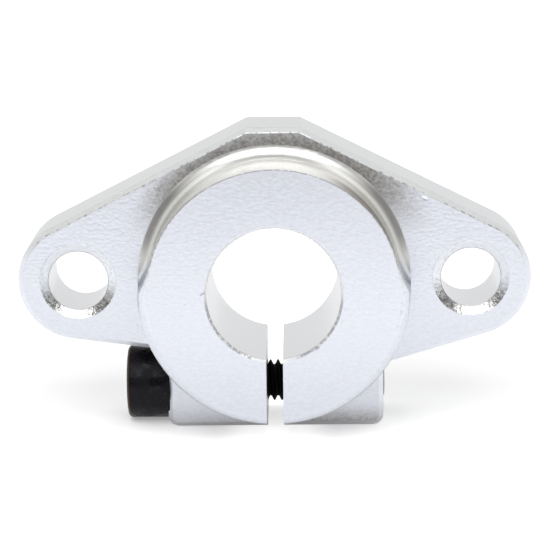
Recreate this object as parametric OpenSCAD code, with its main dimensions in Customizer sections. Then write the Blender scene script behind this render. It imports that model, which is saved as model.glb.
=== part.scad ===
// Flanged shaft support with a split clamp boss, for a round shaft.
//
// The origin is on the bore's axis, in the mounting face at the back. X runs along the flange, the boss
// points to -Y and the clamp lug hangs down to -Z. All sizes are in millimetres.

/* [Shaft bore] */
// Diameter of the bore that takes the shaft
bore_d = 12; // [8:0.5:14]
// Chamfer at both ends of the bore
bore_chamfer = 0.2; // [0.1:0.05:0.6]

/* [Boss] */
// Depth of the block, from the mounting face to the face of the boss
body_depth = 13; // [11:0.5:18]
// Diameter of the boss where it leaves the flange
boss_d = 25; // [24:0.25:26]
// Draft of the cast side of the boss, in degrees
boss_draft = 3.5; // [1:0.5:5]
// Rounding of the cast front edge of the boss
boss_edge_r = 0.9; // [0.4:0.1:1.2]

/* [Milled band] */
// Diameter that the upper part of the boss is milled to
band_d = 22.6; // [21:0.1:23.4]
// Corner radius of the milling cutter, which leaves the fillet at the flange
band_fillet_r = 1.35; // [0.8:0.05:1.6]
// Angle above the level of the bore at which the milling stops on each side
band_stop = 14; // [4:1:30]
// Diameter of the milling cutter, seen where the band runs out
cutter_d = 20; // [10:1:30]

/* [Flange] */
// Thickness of the flange
flange_t = 7; // [5:0.5:9]
// Distance between the two mounting holes
hole_pitch = 36; // [33:0.5:42]
// Radius of the round end of each ear
ear_r = 5.5; // [4.5:0.25:6.5]
// Height of the flange's top over the bore's axis
top_h = 14; // [13:0.25:16]
// Length of the flat on top of the flange
top_flat_w = 4.5; // [2:0.5:8]
// Rounding of the two corners beside that flat
top_corner_r = 1; // [0.5:0.25:2]
// Width of the chamfer along the flange's front edge
flange_chamfer = 0.45; // [0.15:0.05:0.6]

/* [Mounting holes] */
// Diameter of the mounting holes
hole_d = 5.5; // [4.5:0.1:6]
// Diameter of the countersink at the front of each hole
countersink_d = 7; // [6.2:0.1:8]
// Angle of that countersink
countersink_angle = 120; // [90:5:120]

/* [Clamp lug] */
// Height of the bore's axis over the foot of the lug
foot_h = 14; // [14:0.25:16]
// Width of the lug
lug_w = 20; // [19:0.25:22]
// Rounding of the two corners at the foot
foot_corner_r = 1; // [0.5:0.25:2]
// Width of the clamping slot
slot_w = 1.5; // [1:0.25:2.5]
// Drop of the flange's free lower edge below the bore's axis, at the lug
free_edge_drop = 7.8; // [7:0.1:9]
// Rounding of the corner between that edge and the lug
free_fillet_r = 1.2; // [0.5:0.1:1.5]
// Gap between the screw's head and the flange's other lower edge
head_gap = 0.5; // [0.5:0.1:1]
// Rounding of the corner between that edge and the lug
head_fillet_r = 0.4; // [0.2:0.05:0.4]

/* [Clamp screw] */
// Height of the screw's axis over the foot of the lug
screw_rise = 3.5; // [3.45:0.05:3.75]
// Nominal diameter of the screw's thread
screw_d = 4; // [3:0.5:4]
// Length of the screw under its head
screw_len = 20; // [18:0.5:25]
// Diameter of the screw's head
head_d = 6.8; // [6:0.1:6.9]
// Height of the screw's head
head_h = 4; // [3:0.25:4.5]
// Rounding of the head's outer edge
head_edge_r = 0.35; // [0.15:0.05:0.6]
// Width across the flats of the hex socket
socket_af = 3; // [2:0.5:3.5]
// Depth of the hex socket
socket_depth = 2; // [1:0.25:2.5]
// Chamfer at the tip of the screw
tip_chamfer = 0.5; // [0.2:0.1:0.8]
// Depth of the flat spot that the head seats on
seat_depth = 0.15; // [0.05:0.05:0.5]
// Room between the head and the wall of that flat spot
seat_gap = 0.3; // [0.2:0.05:0.5]
// Extra diameter of the hole that the screw passes freely
free_hole_gap = 0.5; // [0.3:0.1:1]
// Gap round the screw in the tapped hole, which has no thread here
thread_gap = 0.05; // [0.02:0.01:0.08]

/* [Hidden] */
$fn = 96;
// Overshoot that lets a cutting solid pass clean through a face
over = 1;
// Depth by which round faces cross flat ones that they would otherwise only touch
bite = 0.005;
bore_r = bore_d / 2;
boss_r = boss_d / 2;
band_r = band_d / 2;
cutter_r = cutter_d / 2;
hole_r = hole_d / 2;
countersink_r = countersink_d / 2;
head_r = head_d / 2;
lug_r = lug_w / 2;
// Radius of the boss's side at the front face, after the draft
boss_front_r = boss_r - (body_depth - flange_t) * tan(boss_draft);
// Radius of the plain shank, which stands in for the thread
shank_r = screw_d / 2 - thread_gap;
// Drop of the screw's axis below the bore's axis
screw_drop = foot_h - screw_rise;
// Distance of the head's seat from the middle of the lug
seat_x = lug_r - seat_depth;
// Drop of the flange's lower edge over the screw's head, at the lug
head_edge_drop = screw_drop - head_r - head_gap;

// The outline of flange and lug, as round corners that a belt runs over. Each is [x, y, radius], in order
// against the clock, and a negative radius is a corner that the belt runs round on the inside.
CORNERS = [
  [hole_pitch / 2, 0, ear_r],
  [top_flat_w / 2, top_h - top_corner_r, top_corner_r],
  [-top_flat_w / 2, top_h - top_corner_r, top_corner_r],
  [-hole_pitch / 2, 0, ear_r],
  [-lug_r - head_fillet_r, -head_edge_drop - head_fillet_r, -head_fillet_r],
  [foot_corner_r - lug_r, foot_corner_r - foot_h, foot_corner_r],
  [lug_r - foot_corner_r, foot_corner_r - foot_h, foot_corner_r],
  [lug_r + free_fillet_r, -free_edge_drop - free_fillet_r, -free_fillet_r]
];

function centre(i) = [CORNERS[i][0], CORNERS[i][1]];
function radius(i) = CORNERS[i][2];
function next(i) = (i + 1) % len(CORNERS);
function last(i) = (i + len(CORNERS) - 1) % len(CORNERS);
// Direction of the outward normal of the straight edge from corner i to the next
function normal_angle(i) =
  let (step = centre(next(i)) - centre(i))
  atan2(step.y, step.x) - acos((radius(i) - radius(next(i))) / norm(step));
function normal(i) = [cos(normal_angle(i)), sin(normal_angle(i))];
// A slanted edge lies a little inside its round corners, so that they cross it and don't only touch it
function inset(i) = abs(sin(2 * normal_angle(i))) > 0.001 ? bite : 0;
// Points where that edge leaves corner i and reaches the next one
function edge_start(i) = centre(i) + (radius(i) - inset(i)) * normal(i);
function edge_end(i) = centre(next(i)) + (radius(next(i)) - inset(i)) * normal(i);
// Outline of flange and lug with a point in place of each round corner, at the corner's centre
module plate_outline() {
  polygon([for (i = [0:len(CORNERS) - 1]) each [edge_end(last(i)), centre(i), edge_start(i)]]);
}

// Waste of the chamfer along the straight edge that leaves corner i, longer where it ends at a round corner
module edge_waste(i) {
  run = edge_end(i) - edge_start(i);
  before = radius(i) > 0 ? over : 0;
  after = radius(next(i)) > 0 ? over : 0;
  translate([edge_start(i).x, edge_start(i).y, flange_t])
    rotate([0, 0, atan2(run.y, run.x)]) rotate([90, 0, 90]) translate([0, 0, -before])
      linear_extrude(before + norm(run) + after) polygon([
        [-over, -flange_chamfer], [0, -flange_chamfer], [flange_chamfer, 0], [flange_chamfer, over],
        [-over, over]
      ]);
}

// Round corner of the flange, with its chamfer
module round_end(i) {
  straight_h = flange_t - flange_chamfer;
  translate(centre(i)) cylinder(h = straight_h, r = radius(i));
  translate([centre(i).x, centre(i).y, straight_h])
    cylinder(h = flange_chamfer, r1 = radius(i), r2 = radius(i) - flange_chamfer);
}

// Waste of a fillet between flange and lug, with its chamfer
module fillet_waste(i) {
  fillet_r = 2 * bite - radius(i);
  translate([centre(i).x, centre(i).y, -over]) cylinder(h = flange_t + 2 * over, r = fillet_r);
  translate([centre(i).x, centre(i).y, flange_t - flange_chamfer])
    cylinder(h = flange_chamfer + over, r1 = fillet_r, r2 = fillet_r + flange_chamfer + over);
}

// Flange with its ears and the lug below, chamfered along the front edge
module flange() {
  difference() {
    linear_extrude(flange_t) plate_outline();
    for (i = [0:len(CORNERS) - 1]) edge_waste(i);
    for (i = [0:len(CORNERS) - 1]) if (radius(i) < 0) fillet_waste(i);
  }
  for (i = [0:len(CORNERS) - 1]) if (radius(i) > 0) round_end(i);
}

// Boss as cast: a drafted side and a rounded front edge, on a core that goes into the flange
module cast_boss() {
  side_r = boss_front_r + boss_edge_r * tan(boss_draft);
  rotate_extrude() {
    square([band_r - over, body_depth - boss_edge_r]);
    polygon([
      [0, flange_t], [boss_r, flange_t], [side_r, body_depth - boss_edge_r], [0, body_depth - boss_edge_r]
    ]);
    square([side_r - boss_edge_r, body_depth]);
    translate([side_r - boss_edge_r, body_depth - boss_edge_r]) intersection() {
      circle(boss_edge_r);
      square(boss_edge_r);
    }
  }
}

// Section that the milling cutter takes away, standing at its edge, with the fillet that its corner leaves
module milled_section(reach) {
  difference() {
    square([reach, body_depth - flange_t + over]);
    difference() {
      square(band_fillet_r);
      translate([band_fillet_r, band_fillet_r]) circle(band_fillet_r);
    }
  }
}

// What the cutter takes off the boss: the sweep round its upper part, and the cutter at both stops
module band_waste() {
  translate([0, 0, flange_t]) {
    rotate([0, 0, band_stop]) rotate_extrude(angle = 180 - 2 * band_stop)
      translate([band_r, 0]) milled_section(boss_r);
    for (stop = [band_stop, 180 - band_stop])
      rotate([0, 0, stop]) translate([band_r + cutter_r, 0])
        rotate_extrude() translate([cutter_r, 0]) mirror([1, 0]) milled_section(cutter_r);
  }
}

// Bore with its chamfers, from the back to the face of the boss
module bore() {
  translate([0, 0, -over]) cylinder(h = body_depth + 2 * over, r = bore_r);
  for (end = [0, 1])
    translate([0, 0, end * body_depth]) mirror([0, 0, end])
      cylinder(h = bore_chamfer, r1 = bore_r + bore_chamfer, r2 = bore_r);
}

// One mounting hole, with its countersink at the front of the flange
module mounting_hole() {
  sink = (countersink_r - hole_r) / tan(countersink_angle / 2);
  translate([0, 0, -over]) cylinder(h = flange_t + 2 * over, r = hole_r);
  translate([0, 0, flange_t - sink]) cylinder(h = sink, r1 = hole_r, r2 = countersink_r);
}

// Holes for the clamp screw, along x: the seat, the free hole in one jaw and the tapped hole in the other
module screw_holes() {
  translate([0, -screw_drop, flange_t / 2]) rotate([0, 90, 0]) {
    translate([0, 0, -seat_x - over]) cylinder(h = over, r = head_r + seat_gap);
    translate([0, 0, -lug_r]) cylinder(h = lug_r, r = screw_d / 2 + free_hole_gap / 2);
    cylinder(h = lug_r + over, r = screw_d / 2);
  }
}

// Flange, lug and boss, with all that is cut along the depth: the bore, the mounting holes and the slot
module block() {
  difference() {
    union() {
      flange();
      difference() {
        cast_boss();
        band_waste();
      }
    }
    bore();
    for (side = [-1, 1]) translate([side * hole_pitch / 2, 0, 0]) mounting_hole();
    translate([-slot_w / 2, -foot_h - over, -over]) cube([slot_w, foot_h + over, body_depth + 2 * over]);
  }
}

// The one casting, turned to stand as it does in use
module support_body() {
  color("silver") rotate([90, 0, 0]) difference() {
    block();
    screw_holes();
  }
}

// Socket head cap screw with its head on -X. Along its axis, zero is the plane that the head seats on.
module clamp_screw() {
  hex_r = socket_af / 2 / cos(30);
  color("dimgray") translate([-seat_x, -flange_t / 2, -screw_drop]) rotate([0, 90, 0]) difference() {
    rotate_extrude() {
      polygon([
        [0, -head_h], [head_r - head_edge_r, -head_h], [head_r - head_edge_r, head_edge_r - head_h],
        [head_r, head_edge_r - head_h], [head_r, 0], [shank_r, 0], [shank_r, screw_len - tip_chamfer],
        [shank_r - tip_chamfer, screw_len], [0, screw_len]
      ]);
      translate([head_r - head_edge_r, head_edge_r - head_h]) circle(head_edge_r);
    }
    translate([0, 0, -head_h - over]) cylinder(h = socket_depth + over, r = hex_r, $fn = 6);
    translate([0, 0, socket_depth - head_h]) cylinder(h = socket_af / 4, r1 = socket_af / 2, r2 = 0);
  }
}

support_body();
clamp_screw();
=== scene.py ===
"""Looks of a flanged shaft support: a blasted casting with machined faces, and its black clamp screw.

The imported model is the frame. The casting keeps its own mesh and gets one finish that tells cast faces
from machined ones by their place on the part. The screw is turned here with its thread and stands for the
plain one. The frame of the part is in metres: the shaft runs along Y, and the flange's back is at y = 0.
The finishes count in millimetres.
"""

import logging
import math
from dataclasses import dataclass, field
from enum import Enum
from functools import partial, reduce
from typing import Callable, Sequence

import bpy
from mathutils import Matrix, Vector


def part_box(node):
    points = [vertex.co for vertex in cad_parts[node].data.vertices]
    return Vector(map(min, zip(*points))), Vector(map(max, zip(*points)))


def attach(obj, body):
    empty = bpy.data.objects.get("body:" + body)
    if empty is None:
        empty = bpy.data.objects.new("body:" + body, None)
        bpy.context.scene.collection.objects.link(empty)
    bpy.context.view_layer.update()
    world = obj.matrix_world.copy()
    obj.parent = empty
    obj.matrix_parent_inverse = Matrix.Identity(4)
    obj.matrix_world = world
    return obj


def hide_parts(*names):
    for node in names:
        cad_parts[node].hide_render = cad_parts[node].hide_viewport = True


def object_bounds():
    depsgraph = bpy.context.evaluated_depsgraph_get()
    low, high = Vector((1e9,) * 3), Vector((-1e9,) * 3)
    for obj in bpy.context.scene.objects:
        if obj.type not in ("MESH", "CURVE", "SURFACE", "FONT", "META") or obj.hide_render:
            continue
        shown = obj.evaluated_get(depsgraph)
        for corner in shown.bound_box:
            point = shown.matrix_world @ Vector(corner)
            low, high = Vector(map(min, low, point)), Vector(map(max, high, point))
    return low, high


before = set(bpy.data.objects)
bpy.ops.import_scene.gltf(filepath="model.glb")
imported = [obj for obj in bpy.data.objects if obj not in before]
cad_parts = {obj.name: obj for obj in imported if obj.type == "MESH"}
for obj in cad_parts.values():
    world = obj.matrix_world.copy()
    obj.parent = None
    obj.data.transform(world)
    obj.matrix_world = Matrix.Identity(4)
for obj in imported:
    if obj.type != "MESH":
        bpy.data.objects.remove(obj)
CAD_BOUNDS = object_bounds()

MM = 0.001
LOG = logging.getLogger("shaft_support")

Colour = tuple[float, float, float, float]
Ring = list[tuple[float, float, float]]
Span = tuple[float, float]
Socket = bpy.types.NodeSocket
Number = float | Socket

WHITE: Colour = (1.0, 1.0, 1.0, 1.0)


def past(edge: float, steps: Span) -> Span:
    """Returns the span between two steps past an edge."""
    return edge + steps[0], edge + steps[1]


def put(name: str, data: bpy.types.ID) -> bpy.types.Object:
    """Makes an object and puts it in the scene.

    Args:
        name: Its name.
        data: Its mesh, camera or light.

    Returns:
        The object.
    """
    made = bpy.data.objects.new(name, data)
    bpy.context.scene.collection.objects.link(made)
    return made


class Sum(Enum):
    """A sum that a node does on one or two numbers."""

    PLUS = "ADD"
    MINUS = "SUBTRACT"
    TIMES = "MULTIPLY"
    LARGER = "MAXIMUM"
    SIZE = "ABSOLUTE"
    ROOT = "SQRT"


class Mix(Enum):
    """What is mixed from two others: the node's word for it, its two inputs and its output, by number."""

    NUMBER = ("FLOAT", 2, 3, 0)
    DIRECTION = ("VECTOR", 4, 5, 1)
    COLOUR = ("RGBA", 6, 7, 2)


@dataclass(frozen=True)
class Noise:
    """A noise in space: its waves per unit, the number of its finer octaves, and their share."""

    waves: float
    octaves: float = 3.0
    share: float = 0.6


class NodeSketch:
    """The node tree of one material or world, written down node by node."""

    def __init__(self, tree: bpy.types.NodeTree) -> None:
        """Starts with an empty tree.

        Args:
            tree: The node tree of a material or a world.
        """
        self.tree = tree
        self.tree.nodes.clear()

    @classmethod
    def of_material(cls, name: str) -> "tuple[NodeSketch, bpy.types.Material]":
        """Makes a material with an empty tree.

        Args:
            name: The material's name.

        Returns:
            The sketch of its tree, and the material.
        """
        made = bpy.data.materials.new(name)
        made.use_nodes = True
        return cls(made.node_tree), made

    def add(
        self, kind: str, inputs: dict[str | int, object] | None = None, **settings: object
    ) -> bpy.types.Node:
        """Adds a node and sets or links its inputs.

        Args:
            kind: The node's type name.
            inputs: Values or sockets, by the input's name or number.
            **settings: Properties of the node itself.

        Returns:
            The new node.
        """
        node = self.tree.nodes.new(kind)
        for key, value in settings.items():
            setattr(node, key, value)
        for key, value in (inputs or {}).items():
            if isinstance(value, Socket):
                self.tree.links.new(value, node.inputs[key])
            else:
                node.inputs[key].default_value = value
        return node

    def sum(self, kind: Sum, first: Number, second: Number = 0.0) -> Socket:
        """Returns the result of a sum on one or two numbers."""
        return self.add("ShaderNodeMath", {0: first, 1: second}, operation=kind.value).outputs[0]

    def plus(self, first: Number, second: Number) -> Socket:
        """Returns two numbers added up."""
        return self.sum(Sum.PLUS, first, second)

    def minus(self, first: Number, second: Number) -> Socket:
        """Returns the first number less the second."""
        return self.sum(Sum.MINUS, first, second)

    def times(self, first: Number, second: Number) -> Socket:
        """Returns the product of two numbers."""
        return self.sum(Sum.TIMES, first, second)

    def size(self, value: Number) -> Socket:
        """Returns a number without its sign."""
        return self.sum(Sum.SIZE, value)

    def every(self, *shares: Number) -> Socket:
        """Returns the product of several shares, which is 1 only where all of them are."""
        return reduce(self.times, shares)

    def any_of(self, *shares: Number) -> Socket:
        """Returns the largest of several shares."""
        return reduce(partial(self.sum, Sum.LARGER), shares)

    def without(self, share: Number) -> Socket:
        """Returns what is left of 1 beside a share."""
        return self.minus(1.0, share)

    def ramp(self, value: Number, span: Span, ends: Span = (0.0, 1.0)) -> Socket:
        """Returns a number that eases from one end to the other as another one crosses a span.

        Args:
            value: The number that drives it.
            span: Where the driving number starts to count, and where it is done.
            ends: The result before the span and past it.

        Returns:
            The socket of the result.
        """
        node = self.add(
            "ShaderNodeMapRange",
            {"Value": value, "From Min": span[0], "From Max": span[1], "To Min": ends[0], "To Max": ends[1]},
            interpolation_type="SMOOTHSTEP",
        )
        return node.outputs["Result"]

    def fall(self, value: Number, span: Span) -> Socket:
        """Returns a share that is 1 before a span and gone past it."""
        return self.ramp(value, span, (1.0, 0.0))

    def noise(self, place: Socket, noise: Noise) -> Socket:
        """Returns a noise between 0 and 1, read at a place."""
        settings = {"Vector": place, "Scale": noise.waves, "Detail": noise.octaves, "Roughness": noise.share}
        return self.add("ShaderNodeTexNoise", settings).outputs["Fac"]

    def stretch(self, place: Socket, scale: Sequence[float]) -> Socket:
        """Returns the place scaled by its own factor in each direction."""
        return self.add("ShaderNodeVectorMath", {0: place, 1: scale}, operation="MULTIPLY").outputs["Vector"]

    def in_millimetres(self) -> Socket:
        """Returns the place on the object, in millimetres."""
        return self.stretch(self.add("ShaderNodeTexCoord").outputs["Object"], (1 / MM,) * 3)

    def join(self, x: Number, y: Number, z: Number) -> Socket:
        """Returns a vector made of three numbers."""
        return self.add("ShaderNodeCombineXYZ", {"X": x, "Y": y, "Z": z}).outputs["Vector"]

    def split(self, vector: Socket) -> tuple[Socket, Socket, Socket]:
        """Returns the three numbers of a vector."""
        parts = self.add("ShaderNodeSeparateXYZ", {"Vector": vector}).outputs
        return parts[0], parts[1], parts[2]

    def distance(self, first: Number, second: Number) -> Socket:
        """Returns the length of a step whose two parts are given."""
        return self.sum(Sum.ROOT, self.plus(self.times(first, first), self.times(second, second)))

    def between(self, share: Number, first: object, second: object, kind: Mix = Mix.NUMBER) -> Socket:
        """Returns a mix of two values.

        Args:
            share: How much of the second value there is.
            first: The first value or socket.
            second: The second value or socket.
            kind: What the values are.

        Returns:
            The socket of the mix.
        """
        word, below, above, result = kind.value
        node = self.add("ShaderNodeMix", {0: share, below: first, above: second}, data_type=word)
        return node.outputs[result]

    def mix(self, share: Number, first: Colour | Socket, second: Colour | Socket) -> Socket:
        """Returns a colour mixed from two others."""
        return self.between(share, first, second, Mix.COLOUR)

    def bump(self, height: Socket, **inputs: Socket) -> Socket:
        """Returns the normal of a fine relief, whose height is in millimetres."""
        node = self.add("ShaderNodeBump", {"Strength": 1.0, "Distance": MM, "Height": height, **inputs})
        return node.outputs["Normal"]

    def metal(self, colour: Socket, roughness: Socket, normal: Socket, plain: dict[str, float]) -> None:
        """Ends the tree in a shader for a metal surface.

        Args:
            colour: Its colour.
            roughness: Its roughness.
            normal: The normal of its relief.
            plain: The shader's values that are the same all over.
        """
        looks = {"Base Color": colour, "Roughness": roughness, "Normal": normal, **plain}
        shader = self.add("ShaderNodeBsdfPrincipled", looks)
        self.add("ShaderNodeOutputMaterial", {"Surface": shader.outputs["BSDF"]})


@dataclass(frozen=True)
class CastingZones:
    """Where the faces of the casting lie, in millimetres, and where each zone of its finish ends.

    A pair of numbers is a span across which a zone fades in or out. A span called a fade counts from the edge
    of a face. A span called facing is a share of the surface's normal.
    """

    bore_r: float = 6.0
    bore_fade: Span = (0.002, 0.006)
    chamfer: float = 0.2
    chamfer_fade: Span = (0.0, 0.03)
    speck_z: Span = (-2.0, -1.0)
    smear_z: Span = (-1.6, 0.2)
    smear_side: Span = (1.6, 2.6)
    hole_x: float = 18.0
    hole_r: float = 2.75
    hole_fade: Span = (0.02, 0.04)
    countersink_r: float = 3.5
    countersink_depth: Span = (6.0, 6.1)
    countersink_cut: Span = (-1.2, 0.6)
    slot_half: float = 0.75
    slot_fade: Span = (0.005, 0.02)
    slot_top: Span = (-1.0, -0.9)
    flange_depth: float = 7.0
    flank_facing: Span = (0.3, 0.4)
    flank_fade: Span = (-0.3, -0.2)
    back_facing: Span = (-0.9, -0.8)
    front_facing: Span = (0.6, 0.8)
    boss_fade: Span = (0.05, 0.2)
    foot_fade: Span = (0.1, 0.2)
    foot_z: Span = (-13.6, -11.0)
    foot_x: Span = (-4.0, 4.0)
    foot_shares: Span = (0.32, 0.85)
    below_up: Span = (-0.6, -0.3)
    below_facing: Span = (0.4, 0.7)
    below_fade: Span = (0.1, 0.3)
    below_radius: Span = (11.5, 12.0)
    boss_r: float = 12.5
    draft: float = math.radians(3.5)
    band_r: float = 11.3
    band_r_fade: Span = (-0.02, -0.01)
    band_inside: Span = (0.03, 0.06)
    band_fade: Span = (0.003, 0.02)
    band_facing: Span = (0.99, 0.998)
    band_z: Span = (-0.3, 2.8)
    band_fillet: float = 1.35
    fillet_fade: Span = (0.0, 0.05)
    fillet_facing: Span = (0.12, 0.2)
    band_beside: Span = (9.5, 12.5)
    band_front_shade_depth: Span = (11.6, 12.9)
    reflected_shade_depth: Span = (8.8, 10.8)
    reflected_shade_x: Span = (4.0, 7.5)
    reflected_shade_z: Span = (2.0, 4.5)
    fillet_shade_facing: Span = (0.6, 0.95)
    fillet_shade_z: Span = (1.0, 4.5)
    satin_z: Span = (8.5, 11.0)
    burr_start: Span = (11.18, 11.24)
    burr_end: Span = (11.31, 11.36)
    burr_depth: Span = (12.9, 12.95)
    burr_z: Span = (1.0, 3.0)
    crescent_lean: float = 0.04
    crescent_reach: Span = (13.8, 16.8)
    crescent_fade: Span = (0.02, 0.04)
    crescent_z: Span = (3.5, 9.5)
    edge_chamfer: float = 0.45
    edge_facing: Span = (0.3, 0.5)
    edge_flat_facing: Span = (0.8, 0.9)
    edge_start_fade: Span = (-0.05, -0.02)
    edge_end_fade: Span = (0.01, 0.03)
    edge_off_hole: Span = (3.7, 3.8)
    edge_off_bore: Span = (7.0, 7.1)
    edge_up: Span = (0.2, 0.5)
    edge_low: Span = (-13.4, -10.5)
    edge_line_fade: Span = (-0.14, -0.06)
    fringe_z: Span = (12.8, 13.4)


@dataclass(frozen=True)
class CastingNoises:
    """The noises of the casting.

    Levels are the span of a noise, from 0 to 1, across which it counts. A reach is how many millimetres the
    noise moves the edge of a zone.
    """

    ragged: Noise = Noise(3.2, 4.0)
    speck_levels: Span = (0.5, 0.54)
    cut_reach: float = 2.0
    crescent_reach: float = 2.4
    grain: Noise = Noise(3.4, 2.8, 0.48)
    grain_stretch: tuple[float, float, float] = (0.68, 1.0, 1.1)
    grain_levels: Span = (0.3, 0.7)
    pits: Noise = Noise(4.0, 2.0, 0.5)
    pit_levels: Span = (0.68, 0.76)
    skin: Noise = Noise(4.2)
    levels: Span = (0.35, 0.65)
    dashes: Noise = Noise(2.0, 3.0, 0.65)
    dash_levels: Span = (0.52, 0.58)
    fringe_levels: Span = (0.62, 0.4)
    fringe_fade: Span = (0.0, 0.06)
    smear_levels: Span = (0.34, 0.5)
    smear_shares: Span = (0.7, 1.0)
    burr_levels: Span = (0.36, 0.5)
    swirl: Noise = Noise(1.6)
    swirl_waves: float = 4.0
    swirl_reach: float = 4.0
    reflected_shade_levels: Span = (0.3, 0.6)
    mottle: Noise = Noise(3.6, 3.0, 0.65)
    mottle_levels: Span = (0.42, 0.58)
    rings: Noise = Noise(9.0, 2.0)
    torn: Noise = Noise(3.2)
    tool: Noise = Noise(1.0, 2.0)
    sawn_stretch: tuple[float, float, float] = (4.0, 0.3, 7.0)
    passes_stretch: tuple[float, float, float] = (0.25, 1.0, 5.0)
    edge: Noise = Noise(5.0)


@dataclass
class CastingPlace:
    """A place on the casting, read by its shader, with the masks of its zones."""

    sketch: NodeSketch
    zones: CastingZones
    noises: CastingNoises

    def __post_init__(self) -> None:
        """Reads the place and works out the masks."""
        sketch, zones = self.sketch, self.zones
        self.place = sketch.in_millimetres()
        self.x, along_shaft, self.z = sketch.split(self.place)
        self.depth = sketch.times(along_shaft, -1.0)
        self.radius = sketch.distance(self.x, self.z)
        normal = sketch.add("ShaderNodeNewGeometry").outputs["True Normal"]
        _, to_the_back, self.up = sketch.split(normal)
        self.front = sketch.times(to_the_back, -1.0)
        self.ragged = sketch.noise(self.place, self.noises.ragged)
        lying = sketch.stretch(self.place, self.noises.grain_stretch)
        self.grain = sketch.noise(lying, self.noises.grain)
        self.pits = sketch.ramp(sketch.noise(lying, self.noises.pits), self.noises.pit_levels)
        self.side = sketch.size(self.x)
        self.hole_radius = sketch.distance(sketch.minus(self.side, zones.hole_x), self.z)
        self.slot = sketch.every(
            sketch.fall(self.side, past(zones.slot_half, zones.slot_fade)),
            sketch.fall(self.z, zones.slot_top),
        )
        self.bore = sketch.every(
            sketch.fall(self.radius, past(zones.bore_r, zones.bore_fade)),
            sketch.without(self.slot),
        )
        self.bore_chamfer = sketch.every(
            sketch.ramp(self.radius, past(zones.bore_r, zones.bore_fade)),
            sketch.fall(self.radius, past(zones.bore_r + zones.chamfer, zones.chamfer_fade)),
            sketch.without(self.slot),
        )
        self.hole = sketch.fall(self.hole_radius, past(zones.hole_r, zones.hole_fade))
        self.countersink = sketch.every(
            sketch.ramp(self.hole_radius, past(zones.hole_r, zones.hole_fade)),
            sketch.fall(self.hole_radius, past(zones.countersink_r, zones.chamfer_fade)),
            sketch.ramp(self.depth, zones.countersink_depth),
        )
        self.wall = sketch.any_of(self.bore, self.hole)
        self.outline = sketch.every(
            sketch.fall(sketch.size(self.front), zones.flank_facing),
            sketch.fall(self.depth, past(zones.flange_depth, zones.flank_fade)),
            sketch.without(self.wall),
            sketch.without(self.slot),
        )
        self.back = sketch.fall(self.front, zones.back_facing)
        self.band = self._band()
        self.shiny = self._shiny()
        self.edge = self._edge()
        # painted shade: the flange's front above and beside the boss, where the boss hides the light from
        # below
        self.crescent_shade = self._crescent_shade()
        # painted shadow: the lug's front darkens towards the floor, more so on the right
        self.foot_shadow = sketch.every(
            sketch.fall(sketch.plus(self.z, self.ragged), zones.foot_z),
            sketch.ramp(self.front, zones.front_facing),
            sketch.fall(self.depth, past(zones.flange_depth, zones.foot_fade)),
            sketch.ramp(self.x, zones.foot_x, zones.foot_shares),
        )
        # painted shade: the boss's sides that face down, beyond the flange
        self.below = sketch.every(
            sketch.fall(self.up, zones.below_up),
            sketch.fall(self.front, zones.below_facing),
            sketch.ramp(self.depth, past(zones.flange_depth, zones.below_fade)),
            sketch.ramp(self.radius, zones.below_radius),
        )

    def _shiny(self) -> Socket:
        """Masks the bright cut faces.

        Returns:
            The mask of the band, the lower countersinks and the bore's specks.
        """
        sketch, zones = self.sketch, self.zones
        specks = sketch.every(
            self.bore_chamfer,
            sketch.ramp(self.ragged, self.noises.speck_levels),
            sketch.fall(self.z, zones.speck_z),
        )
        height = sketch.plus(self.z, sketch.times(self.ragged, self.noises.cut_reach))
        torn = sketch.every(self.countersink, sketch.fall(height, zones.countersink_cut))
        return sketch.any_of(self.band, torn, specks)

    def _band(self) -> Socket:
        """Masks the milled band.

        Returns:
            The mask of the band and its fillet.
        """
        sketch, zones = self.sketch, self.zones
        past_flange = sketch.minus(self.depth, zones.flange_depth)
        cast_r = sketch.minus(zones.boss_r, sketch.times(past_flange, math.tan(zones.draft)))
        fillet = sketch.every(
            sketch.ramp(self.front, zones.fillet_facing),
            sketch.fall(past_flange, past(zones.band_fillet, zones.fillet_fade)),
            sketch.fall(self.radius, past(zones.band_r + zones.band_fillet, zones.fillet_fade)),
        )
        return sketch.every(
            sketch.any_of(sketch.ramp(sketch.minus(cast_r, self.radius), zones.band_inside), fillet),
            sketch.ramp(self.radius, past(zones.band_r, zones.band_r_fade)),
            sketch.ramp(self.depth, past(zones.flange_depth, zones.band_fade)),
            sketch.fall(self.front, zones.band_facing),
            sketch.ramp(self.z, zones.band_z),
        )

    def _crescent_shade(self) -> Socket:
        """Masks the painted shade on the flange's front, close over the milled band.

        Returns:
            The mask on the flange's front.
        """
        sketch, zones = self.sketch, self.zones
        reach = sketch.plus(self.radius, sketch.times(self.ragged, self.noises.crescent_reach))
        reach = sketch.minus(reach, sketch.times(self.x, zones.crescent_lean))
        return sketch.every(
            sketch.fall(reach, zones.crescent_reach),
            sketch.fall(self.depth, past(zones.flange_depth, zones.crescent_fade)),
            sketch.ramp(self.z, zones.crescent_z),
            sketch.ramp(self.front, zones.front_facing),
        )

    def _edge(self) -> Socket:
        """Masks the chamfer along the flange's front edge.

        Returns:
            The mask of the chamfer.
        """
        sketch, zones = self.sketch, self.zones
        return sketch.every(
            sketch.ramp(self.front, zones.edge_facing),
            sketch.fall(self.front, zones.edge_flat_facing),
            sketch.ramp(self.depth, past(zones.flange_depth - zones.edge_chamfer, zones.edge_start_fade)),
            sketch.fall(self.depth, past(zones.flange_depth, zones.edge_end_fade)),
            sketch.ramp(self.hole_radius, zones.edge_off_hole),
            sketch.ramp(self.radius, zones.edge_off_bore),
        )


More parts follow.
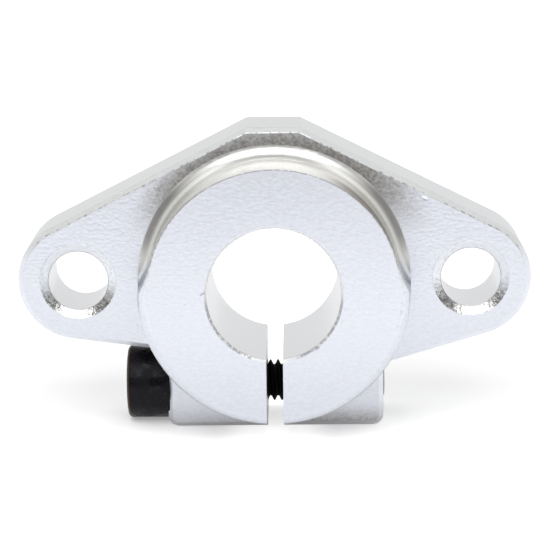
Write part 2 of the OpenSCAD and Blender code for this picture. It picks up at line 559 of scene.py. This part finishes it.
@dataclass(frozen=True)
class Mark:
    """A small nick or scratch on the casting, in millimetres, seen from the front. Some marks are a nick's
    painted highlight and painted shadow.
    """

    x: float
    z: float
    depth: float
    length: float
    width: float
    turn: float = 0.0
    strength: float = 0.5
    tone: Colour = (0.25, 0.25, 0.26, 1.0)
    rim: Span = (0.35, 0.65)
    reach: Span = (0.2, 0.4)

    def share(self, at: CastingPlace) -> Socket:
        """Returns how much of the mark there is at a place.

        Args:
            at: The place on the casting.

        Returns:
            The socket of the share.
        """
        sketch = at.sketch
        level, rise = math.cos(math.radians(self.turn)), math.sin(math.radians(self.turn))
        across = sketch.minus(at.x, self.x)
        above = sketch.minus(at.z, self.z)
        along = sketch.plus(
            sketch.times(across, level / self.length),
            sketch.times(above, rise / self.length),
        )
        aside = sketch.minus(
            sketch.times(above, level / self.width),
            sketch.times(across, rise / self.width),
        )
        middle_of_noise = 0.5
        ragged = sketch.minus(at.ragged, middle_of_noise)
        outline = sketch.fall(sketch.plus(sketch.distance(along, aside), ragged), self.rim)
        return sketch.every(outline, sketch.fall(sketch.size(sketch.minus(at.depth, self.depth)), self.reach))


@dataclass(frozen=True)
class CastingTones:
    """The colours of the casting, and how strongly the weaker ones show."""

    blasted: Colour = (0.745, 0.77, 0.83, 1.0)
    blasted_low: Colour = (0.68, 0.70, 0.755, 1.0)
    pit: Colour = (0.42, 0.42, 0.43, 1.0)
    pit_share: float = 0.35
    painted_shade: Colour = (0.25, 0.235, 0.225, 1.0)
    painted_shade_light: Colour = (0.42, 0.41, 0.40, 1.0)
    below_shade_share: float = 0.7
    smooth: Colour = (0.665, 0.675, 0.68, 1.0)
    edge: Colour = (0.70, 0.71, 0.71, 1.0)
    chamfer_unshaded: Colour = (0.80, 0.82, 0.87, 1.0)
    edge_foot_shade_share: float = 0.7
    dash: Colour = (0.27, 0.27, 0.28, 1.0)
    dash_share: float = 0.8
    edge_glint: Colour = (0.97, 0.97, 0.97, 1.0)
    satin: Colour = (0.80, 0.82, 0.86, 1.0)
    deburred: Colour = (0.95, 0.96, 0.98, 1.0)
    smeared: Colour = (0.56, 0.56, 0.60, 1.0)
    machined: Colour = (0.66, 0.67, 0.68, 1.0)
    bright: Colour = (0.97, 0.97, 0.95, 1.0)
    milled: Colour = (0.82, 0.82, 0.77, 1.0)
    band_front_shade: Colour = (0.42, 0.395, 0.37, 1.0)
    band_front_shade_share: float = 0.8
    reflected_shade: Colour = (0.25, 0.22, 0.19, 1.0)
    reflected_shade_shares: Span = (0.5, 0.9)
    fillet_shade: Colour = (0.20, 0.19, 0.20, 1.0)
    fillet_shade_share: float = 0.75
    torn: Colour = (0.38, 0.37, 0.37, 1.0)
    torn_shares: Span = (0.75, 0.0)
    burr: Colour = (0.40, 0.36, 0.37, 1.0)
    burr_share: float = 0.85


@dataclass(frozen=True)
class CastingRelief:
    """How rough the casting's faces are, and how high their fine relief is in millimetres."""

    blasted_rough: Span = (0.33, 0.4)
    outline_rough: float = 0.34
    edge_rough: float = 0.5
    deburred_rough: float = 0.8
    machined_rough: float = 0.26
    back_rough: Span = (0.28, 0.36)
    satin_rough: Span = (0.3, 0.38)
    satin_beside: float = 0.48
    countersink_rough: Span = (0.18, 0.3)
    grain: float = 0.0115
    pits: float = 0.008
    flange_factors: Span = (1.7, 1.0)
    crescent_and_foot_factor: float = 1.4
    rings: float = 0.001
    torn: float = 0.05
    sawn: float = 0.02
    passes: float = 0.006
    edge: float = 0.04
    soft_edge: float = 0.06


@dataclass(frozen=True)
class CastingFinish:
    """Blasted aluminium with smooth flanks, bright machined faces and a few nicks, and painted shade and
    highlights in its colour.
    """

    zones: CastingZones = CastingZones()
    tones: CastingTones = CastingTones()
    noises: CastingNoises = CastingNoises()
    relief: CastingRelief = CastingRelief()
    marks: tuple[Mark, ...] = (
        Mark(-6.35, 0.15, 13.0, 0.45, 0.22, 35.0),
        Mark(3.85, -4.95, 13.0, 0.5, 0.18, 40.0),
        # the white mark is a painted highlight on a nick, and the dark one just below it is its painted
        # shadow
        Mark(13.75, 7.55, 7.0, 0.5, 0.25, -25.0, 0.9, (0.97, 0.97, 0.97, 1.0)),
        Mark(13.75, 7.32, 7.0, 0.45, 0.12, -25.0, 0.6),
    )

    def material(self) -> bpy.types.Material:
        """Writes the finish down.

        Returns:
            The material for the casting.
        """
        sketch, made = NodeSketch.of_material("blasted_and_machined_aluminium")
        at = CastingPlace(sketch, self.zones, self.noises)
        soft = sketch.add("ShaderNodeBevel", {"Radius": self.relief.soft_edge * MM}, samples=4)
        own = sketch.add("ShaderNodeNewGeometry")
        crisp = sketch.between(at.band, soft.outputs["Normal"], own.outputs["Normal"], Mix.DIRECTION)
        sketch.metal(
            self._colour(at),
            self._roughness(at),
            sketch.bump(self._height(at), Normal=crisp),
            {"Metallic": 1.0},
        )
        return made

    def _colour(self, at: CastingPlace) -> Socket:
        """Returns the colour of the casting, laid on from the cast skin to the marks.

        Args:
            at: The place on the casting.

        Returns:
            The socket of the colour.
        """
        sketch, zones, tones = at.sketch, self.zones, self.tones
        colour = self._edge_colour(at, self._cast_colour(at))
        colour = sketch.mix(sketch.any_of(at.wall, at.slot, at.back), colour, tones.machined)
        colour = sketch.mix(at.shiny, colour, self._cut_colour(at))
        burr = sketch.every(
            sketch.ramp(at.radius, zones.burr_start),
            sketch.fall(at.radius, zones.burr_end),
            sketch.ramp(at.depth, zones.burr_depth),
            sketch.ramp(at.z, zones.burr_z),
            sketch.ramp(at.ragged, self.noises.burr_levels),
        )
        colour = sketch.mix(sketch.times(burr, tones.burr_share), colour, tones.burr)
        for mark in self.marks:
            colour = sketch.mix(sketch.times(mark.share(at), mark.strength), colour, mark.tone)
        return colour

    def _cast_colour(self, at: CastingPlace) -> Socket:
        """Returns the colour of the cast skin, blasted and with painted shade laid on, and of the flange's
        flanks.

        Args:
            at: The place on the casting.

        Returns:
            The socket of the colour.
        """
        sketch, tones, noises = at.sketch, self.tones, self.noises
        colour = sketch.mix(sketch.ramp(at.grain, noises.grain_levels), tones.blasted_low, tones.blasted)
        colour = sketch.mix(sketch.times(at.pits, tones.pit_share), colour, tones.pit)
        # painted shade: a mottled dark tone over the flange's front above the boss and over the lug's foot
        mottled = sketch.ramp(sketch.noise(at.place, noises.skin), noises.levels)
        skin = sketch.mix(mottled, tones.painted_shade, tones.painted_shade_light)
        colour = sketch.mix(sketch.any_of(at.crescent_shade, at.foot_shadow), colour, skin)
        # painted shade on the boss's sides that face down
        colour = sketch.mix(sketch.times(at.below, tones.below_shade_share), colour, tones.painted_shade)
        return sketch.mix(at.outline, colour, tones.smooth)

    def _edge_colour(self, at: CastingPlace, colour: Socket) -> Socket:
        """Lays the colours of the chamfers, with their painted shade and glints, over the colour of the cast
        skin.

        Args:
            at: The place on the casting.
            colour: The colour underneath.

        Returns:
            The socket of the colour.
        """
        sketch, zones, tones, noises = at.sketch, self.zones, self.tones, self.noises
        # painted shade: the chamfer takes a darker tone where it faces up into the light from above
        upward = sketch.ramp(at.up, zones.edge_up)
        colour = sketch.mix(at.edge, colour, sketch.mix(upward, tones.chamfer_unshaded, tones.edge))
        colour = sketch.mix(at.countersink, colour, tones.satin)
        colour = sketch.mix(at.bore_chamfer, colour, tones.deburred)
        smear = sketch.every(
            at.bore_chamfer,
            sketch.fall(at.z, zones.smear_z),
            sketch.ramp(at.side, zones.smear_side),
            sketch.ramp(at.ragged, noises.smear_levels, noises.smear_shares),
        )
        colour = sketch.mix(smear, colour, tones.smeared)
        # painted shade: the chamfer darkens towards the floor, as the lug's foot does
        low = sketch.ramp(sketch.plus(at.z, at.ragged), zones.edge_low, (tones.edge_foot_shade_share, 0.0))
        colour = sketch.mix(sketch.times(at.edge, low), colour, tones.painted_shade_light)
        line = sketch.ramp(at.depth, past(zones.flange_depth, zones.edge_line_fade))
        dashes = sketch.ramp(sketch.noise(at.place, noises.dashes), noises.dash_levels)
        colour = sketch.mix(sketch.every(at.edge, line, dashes, upward, tones.dash_share), colour, tones.dash)
        # painted highlight: white glints along the chamfer's inner line near the top of the flange
        fringe = sketch.ramp(at.z, zones.fringe_z, noises.fringe_levels)
        edge_glints = sketch.ramp(sketch.minus(at.ragged, fringe), noises.fringe_fade)
        return sketch.mix(sketch.every(at.edge, line, edge_glints), colour, tones.edge_glint)

    def _cut_colour(self, at: CastingPlace) -> Socket:
        """Returns the colour of the bright cut faces, with painted highlight and painted shade on the milled
        band.

        Args:
            at: The place on the casting.

        Returns:
            The socket of the colour.
        """
        sketch, zones, tones, noises = at.sketch, self.zones, self.tones, self.noises
        turned = sketch.join(sketch.times(at.radius, noises.swirl_waves), at.depth, 0.0)
        swirl = sketch.noise(turned, noises.swirl)
        # painted highlight and shade: only the band's top keeps the bright cut tone; its sides, below a wavy
        # line, take the darker milled tone
        beside = sketch.fall(sketch.plus(at.z, sketch.times(swirl, noises.swirl_reach)), zones.band_beside)
        cut = sketch.mix(sketch.every(beside, at.band), tones.bright, tones.milled)
        # painted shade: the band's sides darken towards the boss's front face
        band_front_shade = sketch.every(beside, at.band, sketch.ramp(at.depth, zones.band_front_shade_depth), tones.band_front_shade_share)
        cut = sketch.mix(band_front_shade, cut, tones.band_front_shade)
        # painted shade: a dark patch on the right of the band, standing in for the dark flange face that the
        # band mirrors
        reflected_shade = sketch.every(
            at.band,
            sketch.ramp(at.depth, zones.reflected_shade_depth),
            sketch.ramp(at.x, zones.reflected_shade_x),
            sketch.ramp(at.z, zones.reflected_shade_z),
            sketch.ramp(swirl, noises.reflected_shade_levels, tones.reflected_shade_shares),
        )
        cut = sketch.mix(reflected_shade, cut, tones.reflected_shade)
        # painted shade: the fillet at the band's root darkens where it faces forward, low on the sides
        fillet_shade = sketch.every(
            beside,
            at.band,
            sketch.ramp(at.front, zones.fillet_shade_facing),
            sketch.ramp(at.z, zones.fillet_shade_z),
            tones.fillet_shade_share,
        )
        cut = sketch.mix(fillet_shade, cut, tones.fillet_shade)
        torn = sketch.ramp(sketch.noise(at.place, noises.mottle), noises.mottle_levels, tones.torn_shares)
        return sketch.mix(sketch.every(torn, at.countersink), cut, tones.torn)

    def _roughness(self, at: CastingPlace) -> Socket:
        """Returns the roughness of the casting.

        Args:
            at: The place on the casting.

        Returns:
            The socket of the roughness.
        """
        sketch, noises, relief = at.sketch, self.noises, self.relief
        rough = sketch.ramp(at.grain, noises.grain_levels, relief.blasted_rough)
        rough = sketch.between(at.outline, rough, relief.outline_rough)
        rough = sketch.between(at.edge, rough, relief.edge_rough)
        rough = sketch.between(at.bore_chamfer, rough, relief.deburred_rough)
        rough = sketch.between(sketch.any_of(at.wall, at.slot), rough, relief.machined_rough)
        rough = sketch.between(at.back, rough, sketch.ramp(at.ragged, noises.levels, relief.back_rough))
        return sketch.between(at.shiny, rough, self._cut_roughness(at))

    def _cut_roughness(self, at: CastingPlace) -> Socket:
        """Returns the roughness of the bright cut faces, satin on the milled band.

        Args:
            at: The place on the casting.

        Returns:
            The socket of the roughness.
        """
        sketch, levels, relief = at.sketch, self.noises.levels, self.relief
        satin = sketch.ramp(at.ragged, levels, relief.satin_rough)
        satin = sketch.between(sketch.fall(at.z, self.zones.satin_z), satin, relief.satin_beside)
        return sketch.between(at.countersink, satin, sketch.ramp(at.ragged, levels, relief.countersink_rough))

    def _height(self, at: CastingPlace) -> Socket:
        """Returns the height of the fine relief, in millimetres.

        Args:
            at: The place on the casting.

        Returns:
            The socket of the height.
        """
        sketch, zones, noises, relief = at.sketch, self.zones, self.noises, self.relief
        cast = sketch.minus(sketch.times(at.grain, relief.grain), sketch.times(at.pits, relief.pits))
        factor = sketch.ramp(at.depth, past(zones.flange_depth, zones.boss_fade), relief.flange_factors)
        factor = sketch.between(sketch.any_of(at.crescent_shade, at.foot_shadow), factor, relief.crescent_and_foot_factor)
        plain = sketch.any_of(at.outline, at.shiny, at.wall, at.slot, at.back)
        height = sketch.times(sketch.times(cast, factor), sketch.without(plain))
        rings = sketch.noise(sketch.join(at.radius, at.depth, 0.0), noises.rings)
        sawn = sketch.noise(sketch.stretch(at.place, noises.sawn_stretch), noises.tool)
        passes = sketch.noise(sketch.stretch(at.place, noises.passes_stretch), noises.tool)
        for relief_noise, zone, high in (
            (rings, sketch.any_of(at.shiny, at.wall), relief.rings),
            (sketch.noise(at.place, noises.torn), at.countersink, relief.torn),
            (sawn, at.slot, relief.sawn),
            (passes, at.back, relief.passes),
            (sketch.noise(at.place, noises.edge), at.edge, relief.edge),
        ):
            height = sketch.plus(height, sketch.every(relief_noise, zone, high))
        return height


@dataclass(frozen=True)
class BlackOxideFinish:
    """Oiled black oxide on an alloy steel screw, in millimetres."""

    colour: Colour = (0.006, 0.0052, 0.0085, 1.0)
    worn: Colour = (0.075, 0.065, 0.06, 1.0)
    worn_noise: Noise = Noise(2.6)
    worn_levels: Span = (0.66, 0.74)
    rim: Colour = (0.12, 0.07, 0.04, 1.0)
    rim_share: float = 0.7
    rim_inward: Span = (0.12, 0.3)
    rim_radius: Span = (3.0, 3.2)
    thread: Colour = (0.003, 0.003, 0.004, 1.0)
    thread_radius: Span = (2.0, 2.1)
    thread_rough: float = 0.65
    mottle: Noise = Noise(1.1)
    mottle_levels: Span = (0.35, 0.65)
    rough: Span = (0.2, 0.5)
    dents: Noise = Noise(2.2)
    dent_height: float = 0.03
    metallic: float = 0.3
    specular: float = 0.24

    def material(self, face: float, axis: Vector) -> bpy.types.Material:
        """Returns the finish as a material for the screw.

        Args:
            face: Where the head's face lies along X.
            axis: A point on the screw's axis.

        Returns:
            The material.
        """
        sketch, made = NodeSketch.of_material("black_oxide_steel")
        place = sketch.in_millimetres()
        x, y, z = sketch.split(place)
        radius = sketch.distance(sketch.minus(y, axis.y / MM), sketch.minus(z, axis.z / MM))
        thread = sketch.fall(radius, self.thread_radius)
        speck = sketch.ramp(sketch.noise(place, self.worn_noise), self.worn_levels)
        colour = sketch.mix(speck, self.colour, self.worn)
        inward = sketch.fall(sketch.minus(x, face / MM), self.rim_inward)
        brown = sketch.every(inward, sketch.ramp(radius, self.rim_radius), self.rim_share)
        colour = sketch.mix(brown, colour, self.rim)
        # painted shade: the thread and the socket, inside a radius of 2 mm, take a darker tone than the head
        colour = sketch.mix(thread, colour, self.thread)
        mottle = sketch.ramp(sketch.noise(place, self.mottle), self.mottle_levels, self.rough)
        rough = sketch.between(thread, mottle, self.thread_rough)
        height = sketch.times(sketch.noise(place, self.dents), self.dent_height)
        plain = {"Metallic": self.metallic, "Specular IOR Level": self.specular}
        sketch.metal(colour, rough, sketch.bump(height), plain)
        return made


@dataclass
class ClampScrew:
    """The socket head cap screw that draws the two jaws together, with its head on -X."""

    finish: BlackOxideFinish
    columns: int = 96
    crease: float = math.radians(35)
    head_r: float = 3.4 * MM
    head_h: float = 4.0 * MM
    head_edge: float = 0.35 * MM
    head_edge_steps: int = 8
    face_step: float = 0.3 * MM
    seat_chamfer: float = 0.1 * MM
    socket_across: float = 3.0 * MM
    socket_depth: float = 2.0 * MM
    socket_floor: float = 0.995
    mouth_depth: float = 0.16 * MM
    mouth_flare: float = 0.05 * MM
    lip_depth: float = 0.0125 * MM
    lip_width: float = 0.025 * MM
    cone_shares: tuple[float, ...] = (0.02, 0.5, 0.98)
    neck: float = 0.5 * MM
    major_r: float = 1.94 * MM
    minor_r: float = 1.49 * MM
    pitch: float = 0.7 * MM
    rings_per_turn: int = 18
    flank: float = 2.2
    crest_x: float = 0.24 * MM
    tip_chamfer: float = 0.45 * MM
    tip_shares: tuple[float, ...] = (0.85, 0.4, 0.02)
    low: Vector = field(init=False)
    high: Vector = field(init=False)
    middle: Vector = field(init=False)

    def __post_init__(self) -> None:
        """Reads the screw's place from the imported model."""
        self.low, self.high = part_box("clamp_screw")
        self.middle = (self.low + self.high) / 2

    def build(self) -> bpy.types.Object:
        """Makes the screw, dresses it and puts it in the place of the plain one.

        Returns:
            The screw.
        """
        mesh = bpy.data.meshes.new("cap_screw")
        mesh.from_pydata(*self._skin(self._socket() + self._head() + self._thread()))
        mesh.validate()
        mesh.update()
        mesh.shade_smooth()
        mesh.set_sharp_from_angle(angle=self.crease)
        made = put("cap_screw", mesh)
        made.data.materials.append(self.finish.material(self.low.x, self.middle))
        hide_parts("clamp_screw")
        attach(made, "screw")
        return made

    def _ring(self, x: float, radius: Callable[[int], float]) -> Ring:
        """Returns one ring of points round the screw's axis.

        Args:
            x: Where the ring lies along the axis.
            radius: Its radius at each column.

        Returns:
            The points.
        """
        ring = []
        for column in range(self.columns):
            angle = math.tau * column / self.columns
            reach = radius(column)
            ring.append((x, self.middle.y + reach * math.sin(angle), self.middle.z + reach * math.cos(angle)))
        return ring

    def _round(self, x: float, radius: float) -> Ring:
        """Returns a ring that is a plain circle."""
        return self._ring(x, lambda column: radius)

    def _hexagon(self, x: float, across: float) -> Ring:
        """Returns a ring that is a hexagon.

        Args:
            x: Where the ring lies along the axis.
            across: Its width across the flats.

        Returns:
            The points.
        """
        side = math.tau / 6

        def reach(column: int) -> float:
            """Returns the hexagon's radius at a column."""
            angle = math.tau * column / self.columns % side
            return across / 2 / math.cos(angle - side / 2)

        return self._ring(x, reach)

    def _socket(self) -> list[Ring]:
        """Works out the hex socket.

        Returns:
            Its rings, from the point of its bottom to its mouth.
        """
        face = self.low.x
        floor = face + self.socket_depth
        inscribed = self.socket_across / 2
        drill = inscribed / 2
        widest = self.socket_across / math.sqrt(3) + self.mouth_flare
        rings = [self._round(floor + drill * (1 - share), inscribed * share) for share in self.cone_shares]
        return rings + [
            self._hexagon(floor, self.socket_across * self.socket_floor),
            self._hexagon(floor, self.socket_across),
            self._hexagon(face + self.mouth_depth, self.socket_across),
            self._round(face + self.lip_depth, widest),
            self._round(face, widest + self.lip_width),
        ]

    def _head(self) -> list[Ring]:
        """Works out the head.

        Returns:
            Its rings, from its face to its bearing side.
        """
        face = self.low.x
        seat = face + self.head_h
        flat_r = self.head_r - self.head_edge
        rings = [self._round(face, flat_r - self.face_step)]
        for step in range(self.head_edge_steps + 1):
            turn = math.pi / 2 * step / self.head_edge_steps
            x = face + self.head_edge * (1 - math.cos(turn))
            rings.append(self._round(x, flat_r + self.head_edge * math.sin(turn)))
        return rings + [
            self._round(seat - self.seat_chamfer, self.head_r),
            self._round(seat, self.head_r - self.seat_chamfer),
            self._round(seat, self.major_r + self.seat_chamfer),
        ]

    def _thread(self) -> list[Ring]:
        """Works out the neck and the thread.

        Returns:
            Their rings, down to the middle of the tip.
        """
        seat = self.low.x + self.head_h
        tip = self.high.x
        count = round((tip - seat) / self.pitch * self.rings_per_turn)
        rings = []
        for step in range(1, count + 1):
            x = seat + (tip - seat) * step / count
            rings.append(self._ring(x, lambda column, x=x: self._thread_r(x, column)))
        end_r = self.major_r - self.tip_chamfer
        return rings + [self._round(tip, end_r * share) for share in self.tip_shares]

    def _thread_r(self, x: float, column: int) -> float:
        """Returns the radius of the thread at a place.

        Args:
            x: The place along the axis.
            column: The column round the axis. Column 0 is on top.

        Returns:
            The radius.
        """
        phase = ((x - self.crest_x) / self.pitch + column / self.columns) % 1.0
        from_crest = min(min(phase, 1.0 - phase) * self.flank, 1.0)
        cut = (self.major_r - self.minor_r) * (1 - math.cos(math.pi * from_crest)) / 2
        run_in = min(max((x - self.low.x - self.head_h - self.neck) / self.pitch, 0.0), 1.0)
        chamfer = self.major_r - max(self.tip_chamfer - (self.high.x - x), 0.0)
        return min(self.major_r - cut * run_in, chamfer)

    def _skin(self, rings: list[Ring]) -> tuple[list, list, list]:
        """Joins the rings by faces and closes both ends.

        Args:
            rings: The rings, each with a point for every column.

        Returns:
            The points, the edges, of which none is loose, and the faces.
        """
        points = [point for ring in rings for point in ring]
        faces = []
        for number in range(len(rings) - 1):
            here, there = number * self.columns, (number + 1) * self.columns
            for column in range(self.columns):
                beside = (column + 1) % self.columns
                faces.append((here + column, there + column, there + beside, here + beside))
        faces.append(tuple(range(self.columns)))
        last = (len(rings) - 1) * self.columns
        faces.append(tuple(range(last + self.columns - 1, last - 1, -1)))
        return points, [], faces


@dataclass(frozen=True)
class Room:
    """A pale room round the table: white behind, bright at the sides, and dim in front of the part.

    The spans are shares of the direction in which a ray leaves: along Y for the first two, and upward.
    """

    behind: float = 1.0
    beside: float = 1.42
    front_low: float = 0.0
    front_middle: float = 0.26
    front_high: float = 0.08
    zenith: float = 0.33
    front_ends: Span = (-0.5, 0.0)
    back_starts: Span = (0.0, 0.5)
    middle_starts: Span = (0.2, 0.32)
    high_starts: Span = (0.58, 0.7)
    zenith_starts: Span = (0.84, 0.92)

    def world(self) -> bpy.types.World:
        """Writes the room down.

        Returns:
            The world, plain white where the camera sees it.
        """
        made = bpy.data.worlds.new("room")
        made.use_nodes = True
        sketch = NodeSketch(made.node_tree)
        _, back, up = sketch.split(sketch.add("ShaderNodeTexCoord").outputs["Generated"])
        front = sketch.between(sketch.ramp(up, self.middle_starts), self.front_low, self.front_middle)
        front = sketch.between(sketch.ramp(up, self.high_starts), front, self.front_high)
        light = sketch.between(sketch.ramp(back, self.back_starts), self.beside, self.behind)
        light = sketch.between(sketch.fall(back, self.front_ends), light, front)
        light = sketch.between(sketch.ramp(up, self.zenith_starts), light, self.zenith)
        room = sketch.add("ShaderNodeBackground", {"Color": WHITE, "Strength": light})
        white = sketch.add("ShaderNodeBackground", {"Color": WHITE, "Strength": 1.0})
        looked_at = sketch.add("ShaderNodeLightPath").outputs["Is Camera Ray"]
        seen = sketch.add("ShaderNodeMixShader", {0: looked_at, 1: room.outputs[0], 2: white.outputs[0]})
        sketch.add("ShaderNodeOutputWorld", {"Surface": seen.outputs[0]})
        return made


@dataclass(frozen=True)
class WhiteBoard:
    """White board that shows as plain white, with the part's shadow on it, and glows a little.

    The camera sees one glow and a glossy face sees another, which is bright close to the part and dark
    further in front.
    """

    colour: Colour = (0.82, 0.82, 0.825, 1.0)
    front: float = 0.52
    beside: float = 0.28
    front_ends: Span = (-12 * MM, -2 * MM)
    glow_under_slot: float = 0.3
    slot_ends: Span = (2 * MM, 6 * MM)
    far: float = 1.0
    far_starts: Span = (0.06, 0.25)
    mirrored: float = 0.33
    mirrored_rings: tuple[tuple[Span, float], ...] = (
        ((-0.05, -0.03), 0.76),
        ((-0.12, -0.08), 0.0),
    )

    def material(self) -> bpy.types.Material:
        """Writes the board down.

        Returns:
            The board's material.
        """
        sketch, made = NodeSketch.of_material("white_board")
        x, y, _ = sketch.split(sketch.add("ShaderNodeTexCoord").outputs["Object"])
        glow = sketch.ramp(y, self.front_ends, (self.front, self.beside))
        # painted light: the board glows brighter under the slot, where the camera sees it through the slot
        glow = sketch.plus(glow, sketch.ramp(sketch.size(x), self.slot_ends, (self.glow_under_slot, 0.0)))
        glow = sketch.between(sketch.ramp(sketch.distance(x, y), self.far_starts), glow, self.far)
        mirrored = self.mirrored
        for span, strength in self.mirrored_rings:
            mirrored = sketch.between(sketch.fall(y, span), mirrored, strength)
        path = sketch.add("ShaderNodeLightPath").outputs
        strength = sketch.between(path["Is Camera Ray"], mirrored, glow)
        shine = sketch.add("ShaderNodeEmission", {"Color": WHITE, "Strength": strength})
        board = sketch.add("ShaderNodeBsdfDiffuse", {"Color": self.colour})
        both = sketch.add("ShaderNodeAddShader", {0: board.outputs[0], 1: shine.outputs[0]})
        looked_at = sketch.any_of(path["Is Camera Ray"], path["Is Glossy Ray"])
        seen = sketch.add("ShaderNodeMixShader", {0: looked_at, 1: board.outputs[0], 2: both.outputs[0]})
        sketch.add("ShaderNodeOutputMaterial", {"Surface": seen.outputs[0]})
        return made


@dataclass
class Studio:
    """A white table under one soft light, with a camera in front of the part."""

    floor_z: float
    room: Room = Room()
    board: WhiteBoard = WhiteBoard()
    floor_size: float = 3.0
    key_power: float = 2.75
    key_place: tuple[float, float, float] = (0.0, -0.45, 0.53)
    key_size: tuple[float, float] = (0.6, 0.5)
    aim: Vector = field(default_factory=lambda: Vector((0.0, -6.5 * MM, 0.0)))
    distance: float = 186.16 * MM
    azimuth: float = math.radians(0.67)
    elevation: float = math.radians(13.22)
    yaw: float = math.radians(0.65)
    pitch: float = math.radians(13.12)
    roll: float = math.radians(-0.72)
    lens: float = 132.82
    sensor: float = 36.0
    clip_start: float = 0.01

    def set_up(self) -> None:
        """Puts up the camera, the table, the room and the overhead light."""
        self.camera()
        self.floor()
        bpy.context.scene.world = self.room.world()
        self.softbox()

    def camera(self) -> None:
        """Sets up the camera and makes it the scene's own.

        It stands at a distance, an azimuth and an elevation from the aim, and looks along a yaw and a pitch.
        """
        data = bpy.data.cameras.new("camera")
        data.sensor_width = self.sensor
        data.lens = self.lens
        data.clip_start = self.clip_start
        made = put("camera", data)
        level = math.cos(self.elevation)
        place = self.aim + self.distance * Vector(
            (math.sin(self.azimuth) * level, -math.cos(self.azimuth) * level, math.sin(self.elevation))
        )
        flat = math.cos(self.pitch)
        view = Vector((-math.sin(self.yaw) * flat, math.cos(self.yaw) * flat, -math.sin(self.pitch)))
        right = view.cross(Vector((0.0, 0.0, 1.0))).normalized()
        above = right.cross(view)
        turned_right = math.cos(self.roll) * right + math.sin(self.roll) * above
        turned_up = math.cos(self.roll) * above - math.sin(self.roll) * right
        turn = Matrix((turned_right, turned_up, -view)).transposed().to_4x4()
        made.matrix_world = Matrix.Translation(place) @ turn
        bpy.context.scene.camera = made

    def floor(self) -> None:
        """Lays the white table under the part."""
        half = self.floor_size / 2
        corners = [(x * half, y * half, self.floor_z) for x, y in ((-1, -1), (1, -1), (1, 1), (-1, 1))]
        mesh = bpy.data.meshes.new("table")
        mesh.from_pydata(corners, [], [(0, 1, 2, 3)])
        made = put("table", mesh)
        mesh.materials.append(self.board.material())

    def softbox(self) -> None:
        """Hangs the soft light over the part, pointing at it."""
        data = bpy.data.lights.new("key", "AREA")
        data.shape = "RECTANGLE"
        data.size, data.size_y = self.key_size
        data.energy = self.key_power
        made = put("key", data)
        made.location = Vector(self.key_place)
        made.rotation_euler = (self.aim - made.location).to_track_quat("-Z", "Y").to_euler()


@dataclass
class Casting:
    """The one casting: flange, boss and clamp lug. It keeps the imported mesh."""

    finish: CastingFinish

    def dress(self) -> bpy.types.Object:
        """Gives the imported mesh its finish.

        Returns:
            The casting.
        """
        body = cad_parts["support_body"]
        body.data.materials.clear()
        body.data.materials.append(self.finish.material())
        return body


def report(piece: bpy.types.Object) -> None:
    """Logs a piece and how fine its mesh is."""
    LOG.info("%s: %d points, %d faces", piece.name, len(piece.data.vertices), len(piece.data.polygons))


def main() -> None:
    """Builds the studio, the casting and the screw."""
    logging.basicConfig(level=logging.INFO, format="%(message)s")
    bpy.context.scene.view_settings.view_transform = "Standard"
    Studio(floor_z=CAD_BOUNDS[0].z).set_up()
    report(Casting(CastingFinish()).dress())
    report(ClampScrew(BlackOxideFinish()).build())


if __name__ == "__main__":
    main()
